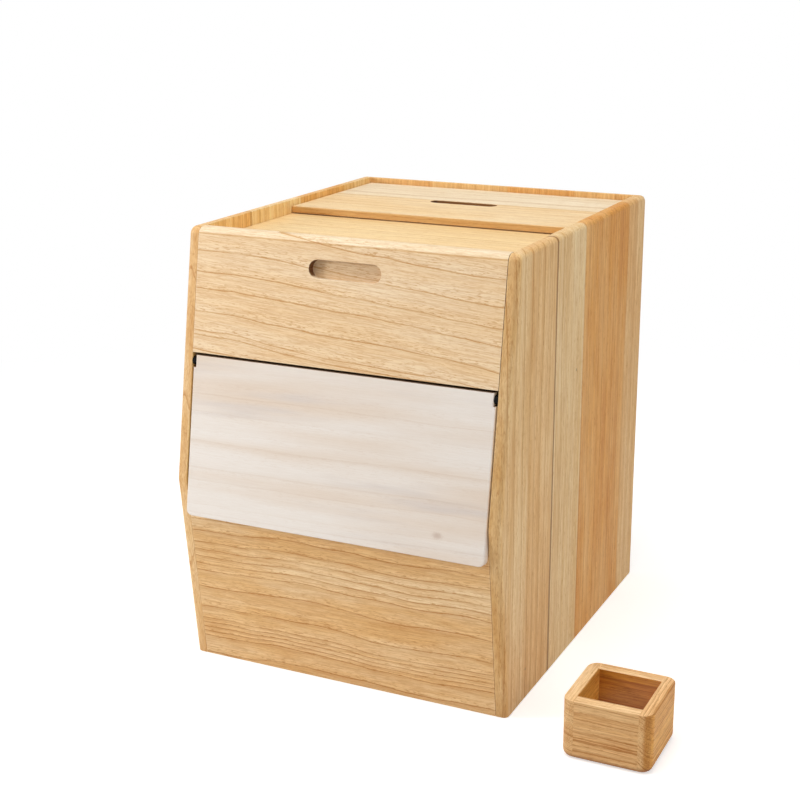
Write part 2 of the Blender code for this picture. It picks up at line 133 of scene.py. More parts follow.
class RiceBoxGrain(bpy.types.PropertyGroup):
    """Sizes of the wood's growth lines and of the eased edges."""

    front_upper_ring: ring("Front upper", "the upper board", 0.0145)
    front_lower_ring: ring("Front lower", "the lower board", 0.0080)
    side_ring: ring("Side", "the side staves", 0.0085)
    top_ring: ring("Top", "the top board and the lid", 0.0065)
    flap_ring: ring("Flap", "the flap", 0.017)
    cup_ring: ring("Cup", "the cup's walls", 0.0032)
    dowel_ring: ring("Dowel", "the dowels", 0.0018)
    ease: length("Eased edges", "Rounding of the boards' sanded edges", 0.0004)
    small_ease: length("Small eased edges", "Rounding of the dowels, pins and washers", 0.0002)
    # How far the pale edges reach: worn wood, with a painted sheen on it.
    wear_and_sheen: length("Edge wear", "How far the paler handled edges reach onto a board", 0.0024)


class RiceBoxStage(bpy.types.PropertyGroup):
    """The camera, the lamps and the floor."""

    camera_place: bpy.props.FloatVectorProperty(
        name="Camera", description="Where the camera stands", subtype="TRANSLATION", unit="LENGTH", size=3,
        default=(0.6513, -1.43, 0.713))
    camera_turn: angle("Turn", "How far the camera is turned from facing the front", 0.4432)
    camera_dip: angle("Dip", "How far the camera looks down", 0.2619)
    lens: bpy.props.FloatProperty(
        name="Lens", description="Focal length in millimetres", unit="CAMERA", min=1, default=68.66)
    rise: bpy.props.FloatProperty(
        name="Rise", description="Shift of the frame, as a share of its width", default=-0.05)
    sky: bpy.props.FloatProperty(
        name="Sky", description="Strength of the even light from all round", min=0, default=0.30)
    key: power("Key lamp", "Power of the low lamp at the left", 10.3)
    top: power("Top lamp", "Power of the large lamp overhead", 26)
    fill: power("Fill lamp", "Power of the large lamp at the right", 13.6)
    floor: colour("Floor", "Plain pale floor", 244, 244, 243)


class RiceBoxLooks(bpy.types.PropertyGroup):
    """All settings of the rice box's looks."""

    colours: bpy.props.PointerProperty(type=RiceBoxColours, name="Colours", description="Board colours")
    grain: bpy.props.PointerProperty(type=RiceBoxGrain, name="Grain", description="Sizes of the grain")
    stage: bpy.props.PointerProperty(type=RiceBoxStage, name="Stage", description="Camera, lamps and floor")


def looks():
    """The settings in use."""
    return bpy.context.scene.rice_box_looks


def opaque(rgb):
    """A colour with full alpha, as shader sockets want it."""
    return (*rgb[:3], 1.0)


def shaded(rgb, red, green, blue):
    """The colour multiplied channel by channel."""
    return (min(rgb[0] * red, 1.0), min(rgb[1] * green, 1.0), min(rgb[2] * blue, 1.0))


class NodeSheet:
    """Places the nodes of one material or group and joins them."""

    COLUMNS = 12
    COLUMN_WIDTH = 190
    ROW_HEIGHT = 260

    # Numbers of the Mix node's sockets when it mixes colours.
    AMOUNT, FIRST_COLOUR, SECOND_COLOUR, MIXED_COLOUR = 0, 6, 7, 2

    def __init__(self, tree):
        self.tree = tree
        self.placed = 0

    def add(self, kind, values=None, **settings):
        """A new node. values gives its inputs, by name or number, as numbers or as sockets to join."""
        node = self.tree.nodes.new(kind)
        row, column = divmod(self.placed, self.COLUMNS)
        node.location = (self.COLUMN_WIDTH * column, -self.ROW_HEIGHT * row)
        self.placed += 1
        for name, setting in settings.items():
            setattr(node, name, setting)
        for key, value in (values or {}).items():
            self.feed(node.inputs[key], value)
        return node

    def feed(self, socket, value):
        """Joins a socket to an input, or writes a plain value there."""
        if isinstance(value, bpy.types.NodeSocket):
            self.tree.links.new(value, socket)
        else:
            socket.default_value = value

    def math(self, operation, *values):
        return self.add("ShaderNodeMath", dict(enumerate(values)), operation=operation).outputs[0]

    def times(self, first, second):
        return self.math("MULTIPLY", first, second)

    def vector(self, operation, *values):
        node = self.add("ShaderNodeVectorMath", dict(enumerate(values)), operation=operation)
        return node.outputs["Value" if operation in ("DOT_PRODUCT", "LENGTH") else "Vector"]

    def scaled(self, vector, factor):
        node = self.add("ShaderNodeVectorMath", {0: vector, "Scale": factor}, operation="SCALE")
        return node.outputs["Vector"]

    def split(self, vector):
        return self.add("ShaderNodeSeparateXYZ", {0: vector}).outputs

    def join(self, x, y, z):
        return self.add("ShaderNodeCombineXYZ", {0: x, 1: y, 2: z}).outputs[0]

    def noise(self, position, scale, detail=2.0, roughness=0.5):
        values = {"Vector": position, "Scale": scale, "Detail": detail, "Roughness": roughness}
        return self.add("ShaderNodeTexNoise", values).outputs

    def stretched_noise(self, position, stretch, detail=2.0, roughness=0.5):
        """Noise with its own cycles per metre along each axis, from 0 to 1."""
        return self.noise(self.vector("MULTIPLY", position, stretch), 1.0, detail, roughness)[0]

    def span(self, value, source, target=(0.0, 1.0), smooth=True):
        """Maps the source range onto the target range, held at both ends."""
        node = self.add("ShaderNodeMapRange", dict(enumerate((value, *source, *target))),
                        interpolation_type="SMOOTHSTEP" if smooth else "LINEAR")
        return node.outputs[0]

    def row_number(self, value, rows, thick, share_of_row):
        """Which of these rows the value has reached, counted from 1 and running evenly from row to row.

        The first share of each row is squeezed into the thickness of a growth line.
        """
        low, high, last = rows[0], rows[-1], len(rows) - 1
        node = self.add("ShaderNodeFloatCurve", {"Value": self.span(value, (low, high), smooth=False)})
        curve = node.mapping.curves[0]
        curve.points[0].location = (0.0, 0.0)
        curve.points[-1].location = (1.0, 1.0)
        for number, row in enumerate(rows[:-1]):
            if number:
                curve.points.new((row - low) / (high - low), number / last)
            curve.points.new((row + thick - low) / (high - low), (number + share_of_row) / last)
        for point in curve.points:
            point.handle_type = "VECTOR"
        node.mapping.update()
        return self.math("MULTIPLY_ADD", node.outputs[0], float(last), 1.0)

    def mix(self, amount, first, second, blend="MIX"):
        values = {self.AMOUNT: amount, self.FIRST_COLOUR: first, self.SECOND_COLOUR: second}
        node = self.add("ShaderNodeMix", values, data_type="RGBA", blend_type=blend)
        return node.outputs[self.MIXED_COLOUR]

    def lay(self, under, over, mask, share):
        """One colour laid over another where the mask says, up to this share."""
        return self.mix(self.times(mask, share), under, over)

    def tinted(self, under, tint):
        """The colour multiplied by a tint."""
        return self.mix(1.0, under, opaque(tint), "MULTIPLY")

    def stain(self, under, tint, amount):
        """The colour stained with a tint, by this amount."""
        return self.mix(amount, under, self.tinted(under, tint))


def new_group(name, inputs, outputs):
    """An empty shader node group with these sockets, its sheet, and the sockets of its two end nodes."""
    tree = bpy.data.node_groups.new(name, "ShaderNodeTree")
    for direction, sockets in (("INPUT", inputs), ("OUTPUT", outputs)):
        for socket_name, (kind, default) in sockets.items():
            socket = tree.interface.new_socket(socket_name, in_out=direction, socket_type=kind)
            if default is not None:
                socket.default_value = default
    sheet = NodeSheet(tree)
    start = sheet.add("NodeGroupInput")
    end = sheet.add("NodeGroupOutput")
    return tree, sheet, start.outputs, end.inputs


NUMBER = "NodeSocketFloat"
VECTOR = "NodeSocketVector"

GRAIN_INPUTS = {
    "Position": (VECTOR, None),
    "Ring Position": (VECTOR, None),
    "Ring": (NUMBER, 0.006),
    "Wander": (NUMBER, 0.004),
    "Line Width": (NUMBER, 0.12),
    "Faint": (NUMBER, 0.3),
    "Uneven": (NUMBER, 2.8),
    "Seed": (NUMBER, 0.0),
}
GRAIN_MASKS = ("Lines", "Bands", "Figure", "Streaks", "Pores", "Fibres", "Specks")
GRAIN_OUTPUTS = dict.fromkeys(GRAIN_MASKS, (NUMBER, None))

SWAY = 2.6  # full range of the growth lines' sway, for each unit of wander
FRAY = 0.0013  # full range of their frayed edges
SPECK_CELLS = (22.0, 34.0, 34.0)
SPECK_RARITY = 0.82  # share of the cells that have no speck


def growth_lines_group():
    """Masks of a sawn board's grain, built once.

    X runs along the fibres, and the log's heart lies on the X axis of Ring Position.
    """
    name = "Growth Lines"
    if name in bpy.data.node_groups:
        return bpy.data.node_groups[name]
    tree, sheet, given, put = new_group(name, GRAIN_INPUTS, GRAIN_OUTPUTS)
    seed = given["Seed"]
    seed_shift = sheet.join(sheet.times(seed, 3.1), sheet.times(seed, 1.7), seed)

    def streaks(along, across, detail, roughness=0.5):
        """Noise drawn out along the fibres: cycles per metre along and across them."""
        stretched = sheet.vector("MULTIPLY", given["Position"], (along, across, across))
        return sheet.noise(sheet.vector("ADD", stretched, seed_shift), 1.0, detail, roughness)

    # The ring that a point lies in, counted from the heart, and how far through that ring it is.
    slow = sheet.vector("SUBTRACT", streaks(along=4.5, across=6.0, detail=2.0)["Color"], (0.5, 0.5, 0.5))
    sway = sheet.scaled(slow, sheet.times(given["Wander"], SWAY))
    swayed = sheet.split(sheet.vector("ADD", given["Ring Position"], sway))
    squares = [sheet.math("POWER", swayed[axis], 2.0) for axis in (Y, Z)]
    heart = sheet.math("SQRT", sheet.math("ADD", *squares))
    ragged = streaks(along=75.0, across=330.0, detail=3.0, roughness=0.65)[0]
    fray = sheet.times(sheet.math("SUBTRACT", ragged, 0.5), FRAY)
    count = sheet.math("DIVIDE", sheet.math("ADD", heart, fray), given["Ring"])
    uneven = sheet.add(
        "ShaderNodeTexNoise", {"W": sheet.math("ADD", count, seed), "Scale": 0.45, "Detail": 1.0},
        noise_dimensions="1D").outputs[0]
    count = sheet.math("ADD", count, sheet.times(uneven, given["Uneven"]))
    through = sheet.math("FRACT", count)
    year = sheet.math("ADD", sheet.math("FLOOR", count), seed)

    # Each year's line is bold or faint, and broken here and there.
    boldness = sheet.add("ShaderNodeTexWhiteNoise", {"W": year}, noise_dimensions="1D").outputs["Value"]
    line = sheet.span(through, (0.0, given["Line Width"]), FALLING)
    broken = sheet.span(streaks(along=14.0, across=40.0, detail=3.0)[0], (0.30, 0.55), (0.55, 1.0))
    clear = sheet.span(sheet.math("SUBTRACT", boldness, given["Faint"]), (-0.3, 0.3), (0.12, 1.0))
    bold = sheet.times(clear, broken)
    sheet.feed(put["Lines"], sheet.times(line, bold))
    sheet.feed(put["Bands"], sheet.times(sheet.math("POWER", through, 1.6), bold))

    # What runs along the fibres, whatever the rings do. Only the pores thin out through each ring.
    for mask, along, across, detail, roughness, seen in (
            ("Figure", 5.0, 22.0, 4.0, 0.6, (0.28, 0.72)),
            ("Streaks", 2.6, 125.0, 3.0, 0.6, (0.3, 0.7)),
            ("Fibres", 38.0, 900.0, 3.0, 0.65, (0.36, 0.66))):
        sheet.feed(put[mask], sheet.span(streaks(along, across, detail, roughness)[0], seen))
    pores = sheet.span(streaks(along=150.0, across=1050.0, detail=2.0, roughness=0.6)[0], (0.54, 0.66))
    early = sheet.span(through, (0.0, 0.75), (1.0, 0.35))
    sheet.feed(put["Pores"], sheet.times(pores, early))

    stretched = sheet.vector("MULTIPLY", given["Position"], SPECK_CELLS)
    cells = sheet.add("ShaderNodeTexVoronoi", {
        "Vector": sheet.vector("ADD", stretched, seed_shift), "Scale": 1.0, "Randomness": 1.0})
    chosen = sheet.math("GREATER_THAN", sheet.split(cells.outputs["Color"])[0], SPECK_RARITY)
    spot = sheet.span(cells.outputs["Distance"], (0.022, 0.05), FALLING)
    sheet.feed(put["Specks"], sheet.times(spot, chosen))
    return tree


def worn_edges_and_sheen_group():
    """Where a board's own edges are, for the paler wood of sanded and handled edges and a painted sheen on
    them. Built once.
    """
    name = "Worn Edges"
    if name in bpy.data.node_groups:
        return bpy.data.node_groups[name]
    tree, sheet, given, put = new_group(
        name, {"Reach": (NUMBER, 0.0024), "Position": (VECTOR, None)}, {"Wear": (NUMBER, None)})
    rounded = sheet.add("ShaderNodeBevel", {"Radius": given["Reach"]}, samples=6).outputs[0]
    flat = sheet.add("ShaderNodeNewGeometry").outputs["Normal"]
    turned = sheet.span(sheet.vector("DOT_PRODUCT", rounded, flat), (0.995, 0.80))
    patches = sheet.noise(given["Position"], scale=60.0, detail=3.0, roughness=0.6)[0]
    patchy = sheet.span(patches, (0.3, 0.7), (0.45, 1.0))
    sheet.feed(put["Wear"], sheet.times(turned, patchy))
    return tree


def empty_sheet(owner):
    """The cleared node sheet of a material or a world."""
    owner.use_nodes = True
    owner.node_tree.nodes.clear()
    return NodeSheet(owner.node_tree)


def new_material(name):
    """An empty node material: its sheet and its Principled shader."""
    material = bpy.data.materials.new(name)
    sheet = empty_sheet(material)
    shader = sheet.add("ShaderNodeBsdfPrincipled")
    sheet.add("ShaderNodeOutputMaterial", {"Surface": shader.outputs[0]})
    return material, sheet, shader


def finish_surface(sheet, shader, paint, roughness, height, relief, depth):
    """Gives the shader its colour, its roughness and a fine relief of this strength and depth."""
    bump = sheet.add("ShaderNodeBump", {"Strength": relief, "Distance": depth, "Height": height})
    sheet.feed(shader.inputs["Base Color"], paint)
    sheet.feed(shader.inputs["Roughness"], roughness)
    sheet.feed(shader.inputs["Normal"], bump.outputs[0])


def grain_masks(sheet, place, values):
    """Masks of the grain and of the worn edges, by name. values are the inputs of the growth lines."""
    grain = sheet.add("ShaderNodeGroup", values, node_tree=growth_lines_group())
    edges = sheet.add("ShaderNodeGroup", {"Reach": looks().grain.wear_and_sheen, "Position": place},
                      node_tree=worn_edges_and_sheen_group())
    return {mask.name: mask for mask in (*grain.outputs, *edges.outputs)}


# One strip of a glued-up board: where it ends, how deep its tone is, and the seed of its grain.
Strip = namedtuple("Strip", "end tone seed")

# Painted light or shade on the faces that look one way along an axis. It starts, and is full, at these
# shares of that turn.
Facing = namedtuple("Facing", "axis way tint start full", defaults=(0.35, 0.8))

# Painted shade in a board, between two corners: the dark of a cut, or a painted shadow line.
PaintedShade = namedtuple("PaintedShade", "low high tint")

# An open joint square to an axis, with grime and painted shade along its edges.
Seam = namedtuple("Seam", "axis place strength")


@dataclass
class Wood:
    """The wood of a sawn board. Amounts run from 0, where nothing shows, to 1."""

    pale: tuple  # lightest colour
    ring: float  # distance between growth lines
    fibres: tuple = FIBRES_ACROSS
    heart: tuple = (0.0, 0.0)  # where the log's heart lies beside the board, across the fibres
    lean: tuple = (0.0, 0.0)  # how far the log is turned against the board
    rows: tuple = ()  # how far up the growth lines lie, where they don't follow from the heart
    wander: float = 0.004  # how far the growth lines sway
    uneven: float = 2.8  # how much the rings differ in width
    line_width: float = 0.12  # share of a ring that its line takes
    faint: float = 0.25  # share of the lines that are faint
    seed: float = 0.0

    line: float = 0.5  # growth lines
    band: float = 0.25  # darkening towards each line
    figure: float = 0.35  # broad cloudy figure
    streak: float = 0.3  # long streaks
    pore: float = 0.35
    fibre: float = 0.3  # finest fibres
    speck: float = 0.0  # small dark specks
    wear_and_sheen: float = 0.35  # pale worn edges, with a painted sheen on them
    line_tint: tuple = (0.60, 0.43, 0.25)
    figure_tint: tuple = (0.93, 0.84, 0.70)
    rough: tuple = (0.5, 0.68)  # roughness of dense and of open grain

    strip_axis: int = Y  # axis along which the strips of a glued-up board follow each other
    strips: tuple = ()
    strip_tint: tuple = (0.89, 0.56, 0.15)
    # painted light and shade of the faces, by the way they look
    painted_light: tuple = ()
    # boxes of painted shade and painted shadow lines
    painted_shades: tuple = ()
    # the open joint, with its grime and painted shade
    seam: Seam = None


FIRST_STRIP_WIDTH = 0.2  # more than any board's first strip is wide
STRIP_SHIFT = (1.9, 0.13, 0.21)  # how far a strip's grain is moved, for each unit of its seed
STRIP_TONES = (0.72, 1.12)  # a strip's tone where the figure is faintest and fullest
JOINT_HALF_WIDTH = 0.00028
JOINT_STRENGTH = 0.45
ROW_LINE_THICKNESS = 0.0017
ROW_SWAY = (5.5, 7.0, 7.0)  # cycles per metre of the rows' sway
SPECK_TINT = (0.20, 0.13, 0.08)
# Pale worn edges, with a painted sheen on them.
WORN_AND_SHEEN_TINT = (1.06, 1.07, 1.10)
# Grime and painted shade along the edges of a seam's open joint.
SEAM_GRIME_AND_SHADE_TINT = (0.32, 0.17, 0.06)
SEAM_GRIME_AND_SHADE_REACH = (0.0003, 0.0022)
SEAM_GRIME_AND_SHADE_RAGGED = 0.0018
WOOD_GLOSS = 0.35


def glued_strips(sheet, place, on_board, wood):
    """Parts a board into strips: where each takes its grain from, the strips' tones, and their joints."""
    at = sheet.split(place)[wood.strip_axis]
    low, high = wood.strips[0].end - FIRST_STRIP_WIDTH, wood.strips[-1].end
    ramp = sheet.add("ShaderNodeValToRGB", {0: sheet.span(at, (low, high), smooth=False)})
    ramp.color_ramp.interpolation = "CONSTANT"
    stops = ramp.color_ramp.elements
    while len(stops) > 1:
        stops.remove(stops[-1])
    start = 0.0
    for number, strip in enumerate(wood.strips):
        stop = stops[0] if number == 0 else stops.new(start)
        stop.position = start
        stop.color = (strip.tone, strip.seed, 0.0, 1.0)
        start = (strip.end - low) / (high - low)
    tone, seed, _ = sheet.add("ShaderNodeSeparateColor", {0: ramp.outputs[0]}).outputs
    shift = sheet.join(*(sheet.times(seed, distance) for distance in STRIP_SHIFT))
    joints = [sheet.math("COMPARE", at, strip.end, JOINT_HALF_WIDTH) for strip in wood.strips[:-1]]
    joints = functools.reduce(functools.partial(sheet.math, "MAXIMUM"), joints)
    return sheet.vector("ADD", on_board, shift), tone, joints


def rings_in_rows(sheet, on_board, wood):
    """Ring Position of a board that lists the rows of its growth lines."""
    along, _, up = sheet.split(on_board)
    slow = sheet.stretched_noise(on_board, ROW_SWAY)
    up = sheet.math("MULTIPLY_ADD", sheet.math("SUBTRACT", slow, 0.5), SWAY * wood.wander, up)
    row = sheet.row_number(up, wood.rows, ROW_LINE_THICKNESS, wood.line_width)
    return sheet.join(along, 0.0, sheet.times(row, wood.ring))


def within(sheet, place, low, high):
    """1 between two corners, and 0 outside them."""
    sides = [sheet.math("COMPARE", at, (low[axis] + high[axis]) / 2, (high[axis] - low[axis]) / 2)
             for axis, at in enumerate(sheet.split(place))]
    return functools.reduce(sheet.times, sides)


def wood_colour(sheet, where, mask, wood, strip_tone, joints):
    """The wood's colour: its broad tones with the painted light and shade of its faces and hollows first,
    then the dark grain, and last the pale edges with their painted sheen, and the grime and painted shade
    of the seam.
    """
    place = where["Object"]
    paint = sheet.lay(opaque(wood.pale), opaque(shaded(wood.pale, *wood.figure_tint)), mask["Figure"],
                      wood.figure)
    paint = sheet.stain(paint, wood.figure_tint, sheet.times(mask["Streaks"], wood.streak))
    if strip_tone is not None:
        clouded = sheet.span(mask["Figure"], (0.0, 1.0), STRIP_TONES, smooth=False)
        paint = sheet.stain(paint, wood.strip_tint, sheet.times(strip_tone, clouded))
    # Painted light and shade: faces lighter or darker by the way they look.
    for face in wood.painted_light:
        turned = sheet.times(sheet.split(where["Normal"])[face.axis], face.way)
        paint = sheet.stain(paint, face.tint, sheet.span(turned, (face.start, face.full)))
    # Painted shade in cuts, and painted shadow lines.
    for shaded_box in wood.painted_shades:
        paint = sheet.stain(paint, shaded_box.tint, within(sheet, place, shaded_box.low, shaded_box.high))

    dark = sheet.tinted(paint, wood.line_tint)
    for name, amount in (("Bands", wood.band), ("Lines", wood.line), ("Pores", wood.pore),
                         ("Fibres", wood.fibre)):
        paint = sheet.lay(paint, dark, mask[name], amount)
    if wood.speck:
        paint = sheet.lay(paint, opaque(shaded(wood.pale, *SPECK_TINT)), mask["Specks"], wood.speck)
    if joints is not None:
        paint = sheet.lay(paint, dark, joints, JOINT_STRENGTH)

    # Pale worn edges, with a painted sheen on them.
    paint = sheet.lay(paint, opaque(shaded(wood.pale, *WORN_AND_SHEEN_TINT)), mask["Wear"], wood.wear_and_sheen)
    # Grime and painted shade along the seam's open joint.
    if wood.seam:
        off = sheet.math("SUBTRACT", sheet.split(place)[wood.seam.axis], wood.seam.place)
        ragged = sheet.times(mask["Figure"], SEAM_GRIME_AND_SHADE_RAGGED)
        off = sheet.math("SUBTRACT", sheet.math("ABSOLUTE", off), ragged)
        grimed_and_shaded = sheet.span(off, SEAM_GRIME_AND_SHADE_REACH, (wood.seam.strength, 0.0))
        paint = sheet.mix(grimed_and_shaded, paint, opaque(shaded(wood.pale, *SEAM_GRIME_AND_SHADE_TINT)))
    return paint


def wood_material(name, wood):
    """The material of a board of this wood."""
    material, sheet, shader = new_material(name)
    where = sheet.add("ShaderNodeTexCoord").outputs
    place = where["Object"]
    turn = (wood.fibres[0], wood.fibres[1] + wood.lean[0], wood.fibres[2] + wood.lean[1])
    on_board = sheet.add("ShaderNodeMapping", {
        "Vector": place, "Rotation": turn, "Location": (0.0, -wood.heart[0], -wood.heart[1])}).outputs[0]
    strip_tone = joints = None
    if wood.strips:
        on_board, strip_tone, joints = glued_strips(sheet, place, on_board, wood)
    mask = grain_masks(sheet, place, {
        "Position": on_board,
        "Ring Position": rings_in_rows(sheet, on_board, wood) if wood.rows else on_board,
        "Ring": wood.ring,
        "Wander": 0.0 if wood.rows else wood.wander,
        "Line Width": wood.line_width,
        "Faint": wood.faint,
        "Uneven": wood.uneven,
        "Seed": wood.seed,
    })
    open_grain = sheet.math("MAXIMUM", mask["Pores"], mask["Lines"])
    openness = sheet.math("ADD", sheet.times(open_grain, 0.6), sheet.times(mask["Fibres"], 0.4))
    finish_surface(
        sheet, shader, wood_colour(sheet, where, mask, wood, strip_tone, joints),
        roughness=sheet.span(openness, (0.0, 1.0), wood.rough, smooth=False),
        height=sheet.math("SUBTRACT", sheet.times(mask["Fibres"], 0.35), open_grain),
        relief=0.35, depth=0.00022)
    sheet.feed(shader.inputs["Specular IOR Level"], WOOD_GLOSS)
    return material


FLAP_LEAN = (0.0, math.radians(1.2), math.radians(0.8))
FLAP_HEART = (0.0, 0.12, -0.47)
KNOT_PLACE = (0.113, -0.216, 0.188)
KNOT_SQUASH = (0.62, 1.0, 1.0)  # makes the knot longer along the fibres
KNOT_FRAY = 0.0028
KNOT_EDGE = (0.0018, 0.0062)


def flap_knot(sheet, place):
    """How dark the flap's one small knot is."""
    beside = sheet.vector("MULTIPLY", sheet.vector("SUBTRACT", place, KNOT_PLACE), KNOT_SQUASH)
    frayed = sheet.times(sheet.noise(place, scale=700.0)[0], KNOT_FRAY)
    return sheet.span(sheet.math("ADD", sheet.vector("LENGTH", beside), frayed), KNOT_EDGE, (0.5, 0.0))


def whitewash_material(name):
    """The flap's milky stain: broad faint bands of blush and grey over the wood, one small knot, pale edges
    with a painted sheen, and painted shade on its top edge.
    """
    milky, blush = looks().colours.whitewash, looks().colours.whitewash_blush
    material, sheet, shader = new_material(name)
    where = sheet.add("ShaderNodeTexCoord").outputs
    place = where["Object"]
    on_board = sheet.add("ShaderNodeMapping", {
        "Vector": place, "Rotation": FLAP_LEAN, "Location": FLAP_HEART}).outputs[0]
    mask = grain_masks(sheet, place, {
        "Position": on_board, "Ring Position": on_board, "Ring": looks().grain.flap_ring, "Wander": 0.005,
        "Line Width": 0.16, "Faint": 0.3, "Seed": 7.3})

    bands = sheet.span(sheet.stretched_noise(on_board, (2.2, 26.0, 26.0)), (0.38, 0.68))
    wash = sheet.lay(opaque(milky), opaque(blush), bands, 0.85)
    veil = sheet.stretched_noise(on_board, (3.5, 34.0, 34.0), detail=3.0, roughness=0.6)
    wash = sheet.lay(wash, opaque(shaded(milky, 0.80, 0.77, 0.78)), sheet.span(veil, (0.52, 0.75)), 0.7)
    through = sheet.tinted(wash, (0.84, 0.76, 0.68))
    for grain, amount in (("Lines", 0.45), ("Bands", 0.16), ("Pores", 0.3), ("Fibres", 0.16)):
        wash = sheet.lay(wash, through, mask[grain], amount)
    wash = sheet.lay(wash, opaque(shaded(blush, 0.55, 0.47, 0.40)), mask["Specks"], 0.5)
    wash = sheet.mix(flap_knot(sheet, place), wash, opaque(shaded(blush, 0.62, 0.50, 0.46)))
    # Pale worn edges, with a painted sheen on them.
    wash = sheet.lay(wash, opaque(shaded(milky, 1.08, 1.08, 1.08)), mask["Wear"], 0.3)
    # Painted shade on the flap's top edge, in its gap under the upper board.
    top_edge_shade = sheet.span(sheet.split(where["Normal"])[Z], (0.55, 0.8))
    wash = sheet.mix(top_edge_shade, wash, opaque(shaded(blush, 0.22, 0.15, 0.09)))
    finish_surface(
        sheet, shader, wash,
        roughness=sheet.span(mask["Fibres"], (0.0, 1.0), (0.5, 0.62), smooth=False),
        height=sheet.math("SUBTRACT", sheet.times(mask["Fibres"], 0.4), mask["Pores"]),
        relief=0.25, depth=0.00018)
    sheet.feed(shader.inputs["Specular IOR Level"], WOOD_GLOSS)
    return material


def steel_material(name):
    """Drawn steel rod: fine rings of the drawing die, and a few dull patches."""
    steel = looks().colours.steel
    material, sheet, shader = new_material(name)
    place = sheet.add("ShaderNodeTexCoord").outputs["Object"]
    drawn = sheet.stretched_noise(place, (40.0, 3000.0, 3000.0))
    dull = sheet.span(sheet.noise(place, scale=220.0, detail=3.0, roughness=0.6)[0], (0.4, 0.65))
    scuffed = sheet.math("ADD", sheet.times(drawn, 0.5), sheet.times(dull, 0.5))
    finish_surface(
        sheet, shader, sheet.lay(opaque(steel), opaque(shaded(steel, 0.7, 0.68, 0.64)), dull, 0.5),
        roughness=sheet.span(scuffed, (0.2, 0.8), (0.24, 0.48)),
        height=drawn, relief=0.15, depth=0.00005)
    sheet.feed(shader.inputs["Metallic"], 1.0)
    return material


def nylon_material(name):
    """Moulded black nylon with a fine matt skin."""
    nylon = looks().colours.nylon
    material, sheet, shader = new_material(name)
    place = sheet.add("ShaderNodeTexCoord").outputs["Object"]
    cloud = sheet.span(sheet.noise(place, scale=300.0)[0], (0.35, 0.7))
    skin = sheet.noise(place, scale=4200.0, detail=2.0, roughness=0.6)[0]
    finish_surface(
        sheet, shader, sheet.mix(cloud, opaque(nylon), opaque(shaded(nylon, 0.9, 0.88, 0.84))),
        roughness=sheet.span(skin, (0.3, 0.7), (0.50, 0.64)), height=skin, relief=0.12, depth=0.00005)
    sheet.feed(shader.inputs["Specular IOR Level"], 0.1)
    return material


MERGE_DISTANCE = 0.00001
FLAT_TURN = math.radians(0.5)  # faces that turn less than this are one flat face
SHARP_TURN = math.radians(38)  # edges that turn more than this are eased
EASE_STEPS = 3


def shade_evenly(piece):
    """Shades a piece by its large flat faces, so that its rounded edges stay narrow."""
    piece.modifiers.new("Even shading", "WEIGHTED_NORMAL")
    piece.data.shade_smooth()


def ease_edges(piece, width):
    """Sanded edges: joins the solid's triangles and rounds its edges a little."""
    weld = piece.modifiers.new("Join faces", "WELD")
    weld.merge_threshold = MERGE_DISTANCE
    whole = piece.modifiers.new("Whole faces", "DECIMATE")
    whole.decimate_type = "DISSOLVE"
    whole.angle_limit = FLAT_TURN
    ease = piece.modifiers.new("Eased edges", "BEVEL")
    ease.width = width
    ease.segments = EASE_STEPS
    ease.limit_method = "ANGLE"
    ease.angle_limit = SHARP_TURN
    ease.use_clamp_overlap = False
    shade_evenly(piece)


def dress(names, material, width=None):
    """Gives these CAD nodes their material and their eased edges."""
    if width is None:
        width = looks().grain.ease
    for name in names:
        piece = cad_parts[name]
        piece.material_slots[0].material = material
        ease_edges(piece, width)


def nodes_named(beginning):
    """The CAD nodes whose names begin so, in order."""
    found = sorted(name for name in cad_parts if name.startswith(beginning))
    if not found:
        raise RuntimeError(f"the packed model has no node that begins with {beginning}")
    return found


# How far up each front board its growth lines lie.
FRONT_UPPER_ROWS = (0.300, 0.318, 0.3325, 0.337, 0.356, 0.379, 0.395, 0.415, 0.4405, 0.470)
FRONT_LOWER_ROWS = (
    -0.02, 0.004, 0.023, 0.028, 0.033, 0.038, 0.043, 0.058, 0.084, 0.104, 0.112, 0.120, 0.128, 0.137, 0.150,
    0.163, 0.180, 0.200, 0.230)


